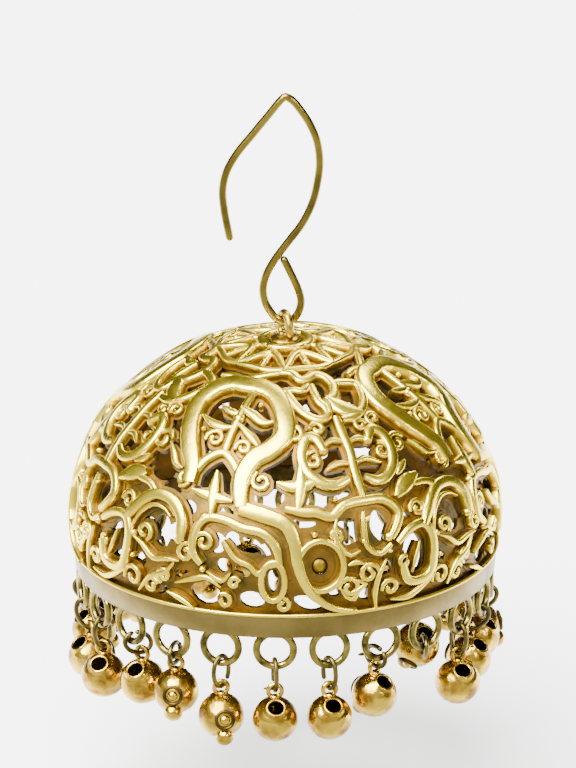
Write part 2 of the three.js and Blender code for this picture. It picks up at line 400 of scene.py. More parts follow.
def wall_line():
    """The outline of the bell's wall, from the rim's edge to the top, as (radius, height)."""
    line = []
    foot_steps = 16
    for step in range(foot_steps):
        share = step / foot_steps
        radius = RIM_RADIUS + (DOME_RADIUS - RIM_RADIUS) * (1 - (1 - share) ** 2)
        low_part = 2 * share * (1 - share) * (RIM_BOTTOM + FOOT_BULGE)
        height = (1 - share) ** 2 * RIM_BOTTOM + low_part + share**2 * SHOULDER
        line.append(Vector((radius, height)))
    bell_steps = 72
    for step in range(bell_steps + 1):
        turn = step / bell_steps * math.pi / 2
        line.append(Vector((DOME_RADIUS * math.cos(turn), SHOULDER + DOME_RISE * math.sin(turn))))
    return line


wall = wall_line()
wall_reach = [0.0]
for lower, upper in zip(wall, wall[1:]):
    wall_reach.append(wall_reach[-1] + (upper - lower).length)


def wall_spot(azimuth, up, depth=0.0):
    """A spot on the bell's wall: X runs round it, Y up along it and Z out of it."""
    up = min(max(up, 0), wall_reach[-1] - 0.01)
    index = max(1, bisect.bisect_left(wall_reach, up))
    lower, upper = wall[index - 1], wall[index]
    share = (up - wall_reach[index - 1]) / (wall_reach[index] - wall_reach[index - 1])
    radius, height = lower.lerp(upper, share)
    rise = (upper - lower).normalized()
    turn = math.radians(azimuth)
    round_it = Vector((math.cos(turn), math.sin(turn), 0))
    up_it = Vector((rise.x * math.sin(turn), -rise.x * math.cos(turn), rise.y))
    out = round_it.cross(up_it)
    spot = Matrix((round_it, up_it, out)).transposed().to_4x4()
    spot.translation = Vector((radius * math.sin(turn), -radius * math.cos(turn), height)) - out * depth
    return spot


def table(columns, rows):
    """The rows of a table by its columns' names. A short row leaves its last columns out."""
    return [dict(zip(columns.split(), row)) for row in rows]


# Ribbons run over the sheet along their route. wide is their width in the middle, proud how
# far they stand out of the wall, and taper says whether both ends thin out, or the last.
ribbons = table("wide proud taper route", [
    # the scroll that comes up out of the band, crosses the front and curls to the left
    (1.25, 0.34, "end", [
        (-13, 10.8), (-6, 10.3), (0, 9.6), (2.4, 8.2), (3.2, 6.6), (5, 4.9), (8.5, 3.5), (13, 2.6),
        (19, 2.2),
    ]),
    # the wavy vine over the rosette and the two heart openings
    (0.8, 0.3, None, [
        (0, 10.9), (5, 10.6), (9, 10.5), (13, 10.1), (17, 10.9), (24, 11.1), (30, 10.9), (33.5, 9.7),
        (31.8, 8.6), (29.5, 7.8),
    ]),
    (0.5, 0.2, "both", [(14.5, 10), (13.8, 9), (14.6, 7.8), (17.5, 6.9), (20.3, 7.2)]),
    (0.5, 0.2, None, [(22.5, 10.2), (22, 8.9), (22.6, 7.4), (26, 6.7), (29.5, 7.3)]),
    # the scroll in the shape of a C beside it, and the low tendrils
    (0.75, 0.28, None, [
        (31.5, 7.3), (36, 8.2), (41, 8.3), (43.2, 7.2), (42.8, 5.2), (41.5, 4.2), (38, 3.8),
        (34, 4.1), (32.4, 5.6),
    ]),
    (0.36, 0.1, "both", [(35.4, 4.6), (37, 5.7), (38.6, 7)]),
    (0.55, 0.24, "both", [(28.5, 2.75), (34, 2.6), (38, 3.1), (43, 4)]),
    (0.45, 0.16, "both", [
        (14.5, 4.3), (16, 3.5), (18.4, 3.2), (19.4, 3.9), (21.5, 4.4), (17.6, 4.9),
    ]),
    (0.5, 0.16, "both", [(24.6, 2), (24.2, 3.2), (25, 4.6), (27.6, 6.2)]),
    (0.5, 0.18, "both", [(16.8, 6.1), (19, 6.3), (21.4, 6.1)]),
    (0.45, 0.18, "both", [(22, 9.4), (24.5, 9.8)]),
    # the hooped ribbon on the left with its inner line
    (0.95, 0.3, None, [(-49, 8.2), (-44, 10.1), (-40, 10.8), (-34, 10.6), (-30, 9.4), (-29.4, 7.6)]),
    (0.4, 0.16, "both", [(-46.5, 7), (-44, 9), (-40, 9.9), (-36, 9.8), (-33.5, 9.3)]),
    (0.5, 0.2, "both", [(-44.5, 7), (-41, 6.5), (-37.3, 5.7), (-33, 5.9), (-29, 5.95)]),
    (0.55, 0.22, None, [(-49, 11.6), (-44, 11.5), (-40.2, 10.9)]),
    # the arched recess over the low openings, and the wavy wire that crosses it
    (0.7, 0.26, None, [
        (-22.6, 6), (-25.3, 6.9), (-25.2, 8.7), (-22.5, 9.75), (-17, 9.75), (-12, 9.25), (-6, 8.9),
        (-2.6, 7.9), (-1.4, 6.4),
    ]),
    (0.48, 0.2, None, [(-17, 8.1), (-13, 6.7), (-9.2, 6.2), (-7.3, 5.6), (-4.5, 6.3), (-1.6, 6.4)]),
    (0.5, 0.2, "both", [(-30, 4.1), (-25, 4.65), (-21, 4.95), (-17, 4.3)]),
    (0.45, 0.18, "both", [(-21, 5.5), (-17, 4.8), (-14.5, 5.6)]),
    (0.45, 0.22, "both", [(-32.5, 3.2), (-29, 2.8), (-24.5, 2.15)]),
    (0.5, 0.18, "both", [(-42, 2.6), (-38, 4.1), (-33.5, 4.7), (-30.5, 5.8)]),
    # the great arch of the upper left, which runs on into the next quarter
    (1.6, 0.42, None, [
        (-30.5, 12.3), (-31.2, 13.8), (-35, 15.3), (-40, 17.4), (-43, 19.5), (-40.6, 21), (-33, 22),
        (-25, 22.1), (-14, 22), (-5, 21.1), (-0.9, 19.5), (0, 17.3), (-5, 15.9), (-10.5, 15),
        (-13.6, 13.2), (-12.8, 10.9),
    ]),
    (0.65, 0.26, None, [(-30.5, 12.9), (-27, 14.5), (-22, 15.25), (-17, 14.3), (-13.8, 12.9)]),
    (0.6, 0.22, "both", [(-43, 15.1), (-40, 14.4), (-37.4, 13.6), (-34, 13.3)]),
    # the sprig in the arch
    (0.75, 0.22, "both", [(-36.5, 18.2), (-31, 17.7), (-25, 17.5), (-20.5, 17.6)]),
    (0.65, 0.2, "both", [(-30.5, 19.5), (-25, 19.1), (-20, 18.9)]),
    (0.85, 0.24, "both", [(-21, 19.6), (-15, 19.1), (-9, 18.3), (-5, 18.4)]),
    (0.6, 0.2, "both", [(-19.5, 18), (-16, 17.4), (-11.5, 16.5), (-9, 15.8)]),
    (0.65, 0.22, None, [(-21.6, 15.2), (-21.2, 17), (-20.2, 19), (-17.5, 21.8)]),
    # the three-armed leaf under it
    (0.9, 0.24, "both", [(-28.5, 11.8), (-22, 11.5), (-15.5, 11.3)]),
    (0.95, 0.26, "both", [(-21.2, 9.8), (-21.8, 11.6), (-22, 13.6)]),
    # the star flower over the middle scroll
    (1.0, 0.26, "both", [(-2.6, 13), (2, 12.65), (6, 12.7), (10, 13.1)]),
    (1.0, 0.28, "both", [(3.4, 10.5), (4.6, 12.2), (5.2, 14.6)]),
    # the pair of facing scrolls on their stem, with the stem's branches
    (0.85, 0.3, None, [
        (13.6, 15.6), (11.5, 16.8), (8.3, 16.9), (5.6, 15.5), (6.3, 14.2), (10.8, 12.95), (15, 12.6),
        (20, 13),
    ]),
    (0.85, 0.3, None, [
        (31.4, 16), (34.5, 16.9), (37.8, 16.4), (38.8, 15.2), (37, 13.7), (33, 12.7), (29, 12.5),
        (25.6, 13),
    ]),
    (0.75, 0.26, None, [(22.3, 18.6), (22.4, 17), (23, 15.4), (22.7, 13.8), (23.5, 11.2)]),
    (0.5, 0.16, "both", [(22.4, 16.1), (18, 16.5), (14.2, 16)]),
    (0.5, 0.16, "both", [(22.6, 14.2), (18, 14.4), (13.4, 13.9)]),
    (0.5, 0.16, "both", [(23, 16.1), (28, 16.4), (31.6, 15.9)]),
    (0.5, 0.16, "both", [(23, 14.2), (28, 14.5), (32.6, 13.9)]),
    (1.4, 0.3, "both", [(33.6, 10.9), (38.5, 11.8), (43.4, 12.3)]),
    (0.7, 0.2, "both", [(36.5, 12.6), (41.5, 13.6)]),
    # the cups between the arches, and the broad leaf
    (0.65, 0.26, None, [(-4, 21.6), (0, 21.7), (5, 21.8), (10, 21.7), (14.4, 22.3)]),
    (0.8, 0.3, None, [
        (-3, 24), (5, 23.9), (10, 23), (15, 23.1), (22, 23.5), (28.5, 22.9), (29.6, 21.9), (26, 20.7),
        (21.6, 20.3), (20.6, 19),
    ]),
    (0.7, 0.26, None, [
        (1, 21.6), (4, 20.5), (7.5, 19.5), (12, 18.7), (16, 18.5), (19.4, 18.9), (19, 19.8),
        (17, 20.3), (16.2, 22.2),
    ]),
    (1.5, 0.32, "both", [(21.5, 20.6), (28, 19.2), (35, 18.5)]),
    (0.75, 0.28, None, [
        (30.6, 22.1), (37, 22), (44, 21.4), (42, 20.3), (37.4, 19.1), (30, 18.3), (24.5, 18.2),
    ]),
    (0.65, 0.24, None, [(-45.5, 22.6), (-38, 22.9), (-28, 22.8), (-20, 23.3), (-10, 23.8), (-3, 24)]),
    # the petals round the crown
    (0.65, 0.3, None, [(-45, 24.4), (-37, 26.1), (-22.5, 26.9), (-8, 26.1), (0, 24.4)]),
    (0.65, 0.3, None, [(0, 24.4), (8, 26.1), (22.5, 26.9), (37, 26.1), (45, 24.4)]),
    (0.5, 0.2, None, [(-22.5, 24.5), (-22.5, 27.7)]),
    (0.5, 0.2, None, [(22.5, 24.5), (22.5, 27.7)]),
    (0.6, 0.26, None, [
        (-45, 24.4), (-30, 24.5), (-15, 24.3), (0, 24.4), (15, 24.5), (30, 24.3), (45, 24.4),
    ]),
    (0.8, 0.34, None, [
        (-45, 27.9), (-30, 27.9), (-15, 27.9), (0, 27.9), (15, 27.9), (30, 27.9), (45, 27.9),
    ]),
])

# Closed hoops: the great rosette's ring and the teardrop's.
hoops = table("at up across tall wide proud", [
    (9.4, 6.2, 3.7, 4.1, 0.5, 0.26),
    (-3.2, 5.0, 1.9, 3.2, 0.5, 0.26),
])

# Small curls that fill the ground: each winds in from its radius, from a start angle, through
# a sweep in degrees.
curls = table("at up radius start sweep", [
    (-44.5, 3.6, 1.0, 200, -420),
    (-38, 3.3, 0.75, 20, 400),
    (-33.8, 4.4, 0.7, 250, -400),
    (-27.4, 6.7, 0.8, 80, 420),
    (-41.5, 7.6, 0.8, -60, 380),
    (-16.2, 3.1, 0.65, 120, -360),
    (-13.5, 4.7, 0.5, 20, 380),
    (-22.4, 7.8, 0.8, 160, -420),
    (-0.6, 3.0, 0.6, 90, -380),
    (13.8, 8.6, 0.6, 270, 360),
    (17.2, 4.2, 0.95, 180, -440),
    (22.6, 5.2, 0.9, 0, 430),
    (28.8, 3.7, 0.8, 190, -400),
    (33.3, 5.6, 0.55, 60, 360),
    (40.2, 9.6, 0.8, 190, -420),
    (-33, 12.6, 0.75, 260, 400),
    (-7.4, 13.1, 0.85, 120, 420),
    (-27, 16.4, 0.85, 200, -420),
    (-15.3, 15.9, 0.7, 200, -400),
    (3.4, 17.3, 0.85, 160, -420),
    (13, 17.7, 0.65, 180, -380),
    (31.5, 17.5, 0.6, 0, 380),
    (9.7, 14.9, 0.8, 80, 400),
    (35, 14.9, 0.8, 100, -400),
    (42.4, 15.2, 0.95, 20, 420),
    (38.6, 17.9, 0.65, 240, -380),
])

# Dots of metal left standing on the sheet, and the low boss in the great rosette's cup.
dots = table("at up size depth", [
    (9.4, 6.1, 1.5, 1.0),
    (-22.3, 5.6, 0.6),
    (-23.2, 9.8, 0.9),
    (-13, 10.9, 0.9),
    (21.7, 7.9, 0.6),
    (22.7, 5.6, 0.55),
    (29, 6.8, 0.55),
    (45, 7.2, 0.6),
    (45.5, 5.4, 0.5),
    (14.7, 11.5, 0.5),
    (8, 8.8, 0.6),
    (29.3, 7.9, 0.8),
    (16.2, 21.7, 0.6),
    (-30, 7.6, 0.8),
    (13.6, 15.7, 0.95),
    (31.4, 16.1, 0.95),
    (-20.5, 18.6, 1.1),
    (4.4, 12.4, 1.1),
    (-22, 25.5, 0.6),
    (22, 25.5, 0.6),
    (-12, 20.1, 0.5),
    (-33, 17, 0.5),
])

# Openings right through the sheet. turn leans one, tip draws its two ends out to points,
# and bend bows it.
openings = table("at up wide tall turn tip bend", [
    (-21.9, 3.4, 2.6, 2.0, -8, 0.3),
    (-8.9, 3.2, 2.0, 1.4, -8),
    (-11.6, 5.7, 1.3, 1.3),
    (-19.3, 7.8, 1.6, 1.6, 20),
    (-10.1, 7.8, 2.1, 1.2, -8, 0, 0.1),
    (-14.9, 8.3, 1.2, 1.1),
    (-5.4, 7.5, 1.2, 1.0),
    (-3.2, 5.0, 0.9, 2.1, 5),
    (-36.4, 8.0, 1.6, 2.6, 12),
    (-32.6, 8.1, 1.1, 1.5, 10),
    (-41.5, 8.1, 1.5, 1.5, 40, 0.4),
    (-43, 5, 1.2, 1.3, 0, 0.5),
    (-36.5, 2.9, 1.7, 0.9, 15),
    (-26.6, 8.6, 0.8, 1.4),
    (-16.6, 6, 1.3, 1.1, -20),
    (6.1, 2.95, 2.4, 1.2, -22, 0.3),
    (9.4, 6.1, 1.3, 1.4),
    (13.6, 3.8, 1.0, 0.8, 10),
    (22.4, 3.3, 1.2, 1.0),
    (28.2, 5.3, 1.0, 1.3, -12),
    (18.2, 8.8, 2.2, 2.2, -35, 0.3),
    (27.4, 8.9, 1.5, 2.5, 8, 0.3),
    (37.1, 5.9, 2.0, 3.4, -6),
    (34.4, 9.4, 0.9, 0.9),
    (39, 9.6, 1.7, 1.1, 10),
    (31.6, 3.5, 1.3, 0.7),
    (-4.9, 12.0, 2.4, 2.0),
    (9.7, 11.8, 2.0, 1.7),
    (-26.7, 12.6, 2.2, 1.7, 20),
    (-16.8, 12.4, 2.2, 1.6, -20),
    (-35.8, 11.9, 2.2, 1.4, 10),
    (-42, 12.8, 2.3, 1.6),
    (16.8, 12.0, 1.9, 0.9, 8, 0.4),
    (29.8, 12.0, 2.2, 0.8, 6, 0.4),
    (39.6, 12.9, 1.6, 0.9, 10),
    (-30, 10.3, 1.7, 1.3),
    (-17.5, 10.4, 1.3, 0.9),
    (3.4, 9.9, 3.0, 0.9, -8),
    (-28.7, 4.7, 1.5, 0.9),
])


def lay_ribbon(section, route, wide, top_depth, back_depth, taper=None, closed=False):
    """A ribbon of metal along the wall, between two depths in it."""
    back_depth += chance.uniform(0, UNEVEN)
    top_depth -= chance.uniform(0, UNEVEN)
    half_height = (back_depth - top_depth) / 2
    depth = (back_depth + top_depth) / 2
    spots = [wall_spot(flat.x / DEGREE, flat.y, depth) for flat in route]
    stations = []
    for index, spot in enumerate(spots):
        ahead = spots[min(index + 1, len(spots) - 1)].translation
        behind = spots[max(index - 1, 0)].translation
        share = index / (len(spots) - 1)
        slim = 1.0
        if taper == "both":
            slim = 0.3 + 0.7 * math.sin(math.pi * share)
        elif taper == "end":
            slim = 0.3 + 0.7 * math.cos(math.pi / 2 * share)
        elif not closed:
            slim = min(1, 0.72 + 3 * min(share, 1 - share))
        slim *= chance.uniform(0.97, 1.03)
        stations.append(
            station(spot.translation, ahead - behind, spot.col[2].to_3d(), slim * wide / 2, half_height)
        )
    return draw_bar(stations, section)


def lay_scroll(scrolls, webs, points, wide, proud, **kind):
    """A ribbon that stands proud, on the wider thin web that ties it to its neighbours."""
    route = smooth_route(points, RIBBON_STEP)
    web_route = smooth_route(points, WEB_STEP)
    web_wide = wide + 2 * WEB_REACH
    join(scrolls, lay_ribbon(RIBBON_SECTION, route, wide, -proud, RIBBON_BACK_DEPTH, **kind))
    join(webs, lay_ribbon(WEB_SECTION, web_route, web_wide, WEB_TOP_DEPTH, WEB_BACK_DEPTH, **kind))


def flat_point(at, up):
    """A chart place, in millimetres both ways."""
    return Vector((at * DEGREE, up, 0))


def cut_block(at, up, wide, tall, turn=0, tip=0, bend=0):
    """The block that cuts one opening, straight in through the wall."""
    block = bmesh.new()
    bmesh.ops.create_circle(block, cap_ends=True, segments=14, radius=1)
    lean = Matrix.Rotation(math.radians(turn), 2)
    here = wall_spot(at, up)
    radius = math.hypot(here.translation.x, here.translation.y)
    for vert in block.verts:
        x, y = vert.co.x, vert.co.y
        y = y * (1 - tip * x * x) + bend * (1 - 2 * x * x)
        flat = lean @ Vector((x * wide / 2, y * tall / 2))
        across = math.degrees(flat.x / radius)
        vert.co = wall_spot(at + across, up + flat.y, -0.4).translation
    grown = bmesh.ops.extrude_face_region(block, geom=block.faces[:])["geom"]
    inner = [part for part in grown if isinstance(part, bmesh.types.BMVert)]
    bmesh.ops.translate(block, vec=-here.col[2].to_3d() * 2.2, verts=inner)
    bmesh.ops.recalc_face_normals(block, faces=block.faces)
    return block


def repeat_round(quarter):
    """Repeats a quarter's mesh round the bell."""
    bmesh.ops.spin(
        quarter,
        geom=quarter.verts[:] + quarter.edges[:] + quarter.faces[:],
        cent=(0, 0, 0),
        axis=(0, 0, 1),
        angle=2 * math.pi * (QUARTERS - 1) / QUARTERS,
        steps=QUARTERS - 1,
        use_duplicate=True,
    )
    return quarter


def loose_object(name, mesh):
    """A working object for a modifier, which is removed again."""
    data = bpy.data.meshes.new(name)
    mesh.to_mesh(data)
    mesh.free()
    made = bpy.data.objects.new(name, data)
    bpy.context.scene.collection.objects.link(made)
    return made


def worked(made):
    """The mesh that an object's modifiers make of it. The object is removed."""
    bpy.context.view_layer.update()
    ready = made.evaluated_get(bpy.context.evaluated_depsgraph_get())
    mesh = bmesh.new()
    mesh.from_mesh(ready.to_mesh())
    bpy.data.objects.remove(made)
    return mesh


sheet_rows = range(SHEET_ROWS + 1)
sheet_ups = [SHEET_FOOT + (SHEET_HEAD - SHEET_FOOT) * row / SHEET_ROWS for row in sheet_rows]
sheet_profile = []
for up in sheet_ups:
    spot = wall_spot(0, up, SHEET_TOP_DEPTH).translation
    sheet_profile.append((-spot.y, spot.z))
for up in reversed(sheet_ups):
    spot = wall_spot(0, up, SHEET_BACK_DEPTH).translation
    sheet_profile.append((-spot.y, spot.z))
sheet_work = loose_object("sheet", turned(sheet_profile, SHEET_TURNS))

quarter_blocks = bmesh.new()
for opening in openings:
    join(quarter_blocks, cut_block(**opening))
block_work = loose_object("blocks", repeat_round(quarter_blocks))
pierce = sheet_work.modifiers.new("pierce", "BOOLEAN")
pierce.operation = "DIFFERENCE"
pierce.solver = "EXACT"
pierce.use_self = True
pierce.object = block_work
ground_mesh = worked(sheet_work)
bpy.data.objects.remove(block_work)

scrolls = bmesh.new()
webs = bmesh.new()
for ribbon in ribbons:
    points = [flat_point(at, up) for at, up in ribbon["route"]]
    lay_scroll(scrolls, webs, points, ribbon["wide"], ribbon["proud"], taper=ribbon["taper"])
for hoop in hoops:
    middle = wall_spot(hoop["at"], hoop["up"]).translation
    degree = math.radians(math.hypot(middle.x, middle.y))
    points = []
    for step in range(HOOP_TURNS + 1):
        turn = 2 * math.pi * step / HOOP_TURNS
        at = hoop["at"] + hoop["across"] / 2 * math.cos(turn) / degree
        points.append(flat_point(at, hoop["up"] + hoop["tall"] / 2 * math.sin(turn)))
    lay_scroll(scrolls, webs, points, hoop["wide"], hoop["proud"], closed=True)
for curl in curls:
    middle = wall_spot(curl["at"], curl["up"]).translation
    degree = math.radians(math.hypot(middle.x, middle.y))
    points = []
    for step in range(CURL_TURNS + 1):
        share = step / CURL_TURNS
        turn = math.radians(curl["start"] + curl["sweep"] * share)
        reach = curl["radius"] * (1 - CURL_SHRINK * share)
        at = curl["at"] + reach * math.cos(turn) / degree
        points.append(flat_point(at, curl["up"] + reach * math.sin(turn)))
    lay_scroll(scrolls, webs, points, CURL_WIDTH, CURL_PROUD)
for dot in dots:
    dot_size = Matrix.Diagonal((dot["size"] / 2, dot["size"] / 2, 0.5, 1))
    bmesh.ops.create_uvsphere(
        scrolls,
        u_segments=14,
        v_segments=8,
        radius=1,
        matrix=wall_spot(dot["at"], dot["up"], dot.get("depth", 0.2)) @ dot_size,
    )
join(ground_mesh, repeat_round(webs))
scroll_mesh = repeat_round(scrolls)

scroll_gold = plated_gold(
    "scroll_gold",
    bright=(0.98, 0.78, 0.06),
    dull=(0.78, 0.575, 0.028),
    patch=0.0026,
    gloss=0.2,
    matt=0.34,
    grain=0.0005,
    depth=0.00002,
)
# The sheet and webs are the same metal as the scrolls, painted darker as the shade in the recesses
# between the ribbons.
shaded_ground_gold = plated_gold(
    "shaded_ground_gold",
    bright=(0.31, 0.185, 0.028),
    dull=(0.095, 0.078, 0.022),
    patch=0.0024,
    gloss=0.32,
    matt=0.48,
    grain=0.0004,
    depth=0.00003,
)


def paint_recess_shade(metal, inside, ground, deep_roughness):
    """Paints shade into the recesses by how deep a spot lies in the bell's wall, and leaves them duller.
    """
    nodes = metal.node_tree.nodes
    link = metal.node_tree.links.new
    shader = nodes["Principled BSDF"]
    place = nodes["Texture Coordinate"]
    apart = nodes.new("ShaderNodeSeparateXYZ")
    link(place.outputs["Object"], apart.inputs["Vector"])
    height = nodes.new("ShaderNodeMath")
    height.operation = "SUBTRACT"
    height.inputs[1].default_value = SHOULDER * MM
    link(apart.outputs["Z"], height.inputs[0])
    above = nodes.new("ShaderNodeMath")
    above.operation = "MAXIMUM"
    above.inputs[1].default_value = 0
    link(height.outputs["Value"], above.inputs[0])
    again = nodes.new("ShaderNodeCombineXYZ")
    link(apart.outputs["X"], again.inputs["X"])
    link(apart.outputs["Y"], again.inputs["Y"])
    link(above.outputs["Value"], again.inputs["Z"])
    fit = nodes.new("ShaderNodeVectorMath")
    fit.operation = "MULTIPLY"
    fit.inputs[1].default_value = (1 / (DOME_RADIUS * MM), 1 / (DOME_RADIUS * MM), 1 / (DOME_RISE * MM))
    link(again.outputs["Vector"], fit.inputs[0])
    reach = nodes.new("ShaderNodeVectorMath")
    reach.operation = "LENGTH"
    link(fit.outputs["Vector"], reach.inputs[0])
    relief = nodes.new("ShaderNodeMapRange")
    relief.inputs["From Min"].default_value = 1 - 0.8 / DOME_RADIUS
    relief.inputs["From Max"].default_value = 1 + 0.15 / DOME_RADIUS
    link(reach.outputs["Value"], relief.inputs["Value"])
    # Painted shade by depth: the inside colour at the back of the wall, the ground colour at the sheet,
    # full colour on the tops.
    shade = nodes.new("ShaderNodeValToRGB")
    link(relief.outputs["Result"], shade.inputs["Fac"])
    stops = shade.color_ramp.elements
    stops[0].color = (*inside, 1)
    stops[1].color = (1, 1, 1, 1)
    ground_stop = stops.new(0.55)
    ground_stop.color = (*ground, 1)
    tone = nodes.new("ShaderNodeMix")
    tone.data_type = "RGBA"
    tone.blend_type = "MULTIPLY"
    tone.inputs["Factor"].default_value = 1
    link(nodes["tone"].outputs["Color"], tone.inputs["A"])
    link(shade.outputs["Color"], tone.inputs["B"])
    link(tone.outputs["Result"], shader.inputs["Base Color"])
    wear = nodes.new("ShaderNodeMix")
    wear.inputs["A"].default_value = deep_roughness
    link(relief.outputs["Result"], wear.inputs["Factor"])
    link(nodes["wear"].outputs["Result"], wear.inputs["B"])
    link(wear.outputs["Result"], shader.inputs["Roughness"])


# Painted shade: the ribbons' sides darken towards the sheet, and the sheet and the wall's back darken
# towards the inside.
paint_recess_shade(scroll_gold, inside=(0.18, 0.14, 0.12), ground=(0.36, 0.3, 0.25), deep_roughness=0.48)
paint_recess_shade(shaded_ground_gold, inside=(0.3, 0.24, 0.2), ground=(0.8, 0.75, 0.68), deep_roughness=0.5)
scroll_bell = new_piece("scroll_bell", scroll_mesh, scroll_gold)
pierced_ground = new_piece("pierced_ground", ground_mesh, shaded_ground_gold)
for piece in (scroll_bell, pierced_ground):
    piece.data.set_sharp_from_angle(angle=EDGE_ANGLE)
    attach(piece, "drop")
    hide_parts("dome")


# ---- Band and loops ----
# The bell's plain rim, with a thin bright ridge where the scrollwork starts, and a row of
# loops cast on under it. It is left duller than the scrolls.

BAND_TURNS = 240
BAND_HEIGHT = 2.0
BAND_STEP = 0.1
BAND_THICKNESS = 0.95
RIDGE_RADIUS = 0.16
LOOP_COUNT = 24
LOOP_PITCH = 360 / LOOP_COUNT
FIRST_LOOP = -167.8
FRONT_LOOP = 11
LOOP_RADIUS = 1.45
LOOP_WIRE = 0.64
LOOP_DROP = 1.1
LOOP_CIRCLE = 16.85
LOOP_GRAIN = 0.12

band_profile = [
    (RIM_RADIUS - BAND_THICKNESS + 0.12, RIM_BOTTOM),
    (RIM_RADIUS - 0.02, RIM_BOTTOM),
    (RIM_RADIUS + BAND_STEP, RIM_BOTTOM + 0.14),
    (RIM_RADIUS + BAND_STEP + 0.19, RIM_BOTTOM + BAND_HEIGHT - 0.1),
    (RIM_RADIUS + BAND_STEP + 0.1, RIM_BOTTOM + BAND_HEIGHT + 0.05),
    (RIM_RADIUS - BAND_THICKNESS + 0.25, RIM_BOTTOM + BAND_HEIGHT + 0.05),
    (RIM_RADIUS - BAND_THICKNESS, RIM_BOTTOM + 0.12),
]
band_mesh = turned(band_profile, BAND_TURNS)
band_gold = plated_gold(
    "band_gold",
    bright=(0.22, 0.162, 0.044),
    dull=(0.15, 0.108, 0.027),
    patch=0.003,
    gloss=0.3,
    matt=0.46,
    grain=0.0004,
    depth=0.000025,
)
# Near-black painted shade for inner faces: the band's inner side, the inside of each ball and the ring
# round its stud.
painted_inner_shade = plated_gold(
    "painted_inner_shade",
    bright=(0.09, 0.062, 0.016),
    dull=(0.03, 0.02, 0.006),
    patch=0.0008,
    gloss=0.3,
    matt=0.5,
    grain=0.0004,
    depth=0.00002,
)
# The band's inner side takes the painted shade.
for face in band_mesh.faces:
    middle = face.calc_center_median()
    if math.hypot(middle.x, middle.y) < RIM_RADIUS - BAND_THICKNESS / 2:
        face.material_index = 1
rim_band = new_piece("rim_band", band_mesh, band_gold)
rim_band.data.materials.append(painted_inner_shade)
rim_band.data.set_sharp_from_angle(angle=EDGE_ANGLE)

ridge_mesh = round_ring(RIM_RADIUS + BAND_STEP + RIDGE_RADIUS, RIDGE_RADIUS, BAND_TURNS, 12)
bmesh.ops.translate(ridge_mesh, vec=(0, 0, RIM_BOTTOM + BAND_HEIGHT), verts=ridge_mesh.verts)
rim_ridge = new_piece("rim_ridge", ridge_mesh, scroll_gold)


def fuse_casting(name, mesh, grain):
    """Melts overlapping shapes into one closed casting, and softens its corners."""
    made = loose_object(name, mesh)
    melt = made.modifiers.new("melt", "REMESH")
    melt.mode = "VOXEL"
    melt.voxel_size = grain
    soften = made.modifiers.new("soften", "SMOOTH")
    soften.factor = 0.5
    soften.iterations = 3
    return worked(made)


loops_mesh = bmesh.new()
for index in range(LOOP_COUNT):
    loop = round_ring(LOOP_RADIUS, LOOP_WIRE / 2, 40, 14)
    stand = Matrix.Rotation(math.pi / 2, 4, "X")
    hang = Matrix.Translation((0, -LOOP_CIRCLE, RIM_BOTTOM - LOOP_DROP))
    uneven = Matrix.Diagonal((chance.uniform(0.97, 1.03), 1, chance.uniform(0.98, 1.02), 1))
    swing = Matrix.Rotation(math.radians(FIRST_LOOP + index * LOOP_PITCH), 4, "Z")
    bmesh.ops.transform(loop, matrix=swing @ hang @ uneven @ stand, verts=loop.verts)
    join(loops_mesh, loop)
loops_mesh = fuse_casting("loops", loops_mesh, LOOP_GRAIN)
loop_gold = plated_gold(
    "loop_gold",
    bright=(0.32, 0.245, 0.045),
    dull=(0.055, 0.042, 0.009),
    patch=0.0011,
    gloss=0.16,
    matt=0.34,
    grain=0.0004,
    depth=0.00002,
)
cast_loops = new_piece("cast_loops", loops_mesh, loop_gold)
for piece in (rim_band, rim_ridge, cast_loops):
    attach(piece, "drop")
    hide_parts("dome")


# ---- Jump rings ----
# Ovals of thin darkened wire, each closed by hand round a loop and a ball's eyelet, so that
# its cut ends don't quite meet. Two were left with a stray end.

RING_HALF_WIDTH = 0.85
RING_HALF_HEIGHT = 1.3
RING_WIRE = 0.4
CLEARANCE = 0.05
RING_CENTRE_DROP = RING_HALF_HEIGHT - (LOOP_WIRE + RING_WIRE) / 2 - CLEARANCE
GAP = math.radians(9)

# How each drop hangs. at is its loop, counted round from the front one towards +X, lean how
# far the ring leans in under the bell, twist how far it is turned from square across its
# loop, and face how far the ball's mouth is turned from facing outwards, in degrees. caught
# is how far one ring and its ball are held up together, in under the bell.
drops = table("at lean twist face caught", [
    (0, 0, 12, -4),
    (1, 0, 24, -18),
    (2, 82, 8, 12),
    (3, 0, -34, 150, 70),
    (4, 8, -14, -20),
    (5, 50, 10, -24),
    (6, 56, -6, -10),
    (7, 20, 18, 160),
    (8, 6, -20, 10),
    (9, 0, 14, 172),
    (10, 35, -10, -14),
    (11, 0, 22, 8),
    (12, 12, -16, -22),
    (13, 60, 6, 186),
    (14, 0, 20, 16),
    (15, 78, -8, -6),
    (16, 10, 16, 20),
    (17, 30, -22, 168),
    (18, 58, 12, 14),
    (19, 20, -12, 28),
    (20, 10, 18, 24),
    (21, 66, -10, 26),
    (22, 76, 14, 190),
    (23, 0, -26, 234),
])
STRAY_ENDS = (0, 2)


def drop_place(at, twist, caught=0):
    """Where a drop hangs: the middle of its loop's wire, turned as the drop is twisted."""
    swing = Matrix.Rotation(math.radians(FIRST_LOOP + (FRONT_LOOP + at) * LOOP_PITCH), 4, "Z")
    hang = Matrix.Translation((0, -LOOP_CIRCLE, RIM_BOTTOM - LOOP_DROP - LOOP_RADIUS))
    turn = Matrix.Rotation(math.radians(twist), 4, "Z")
    return swing @ hang @ turn @ Matrix.Rotation(math.radians(caught), 4, "X")


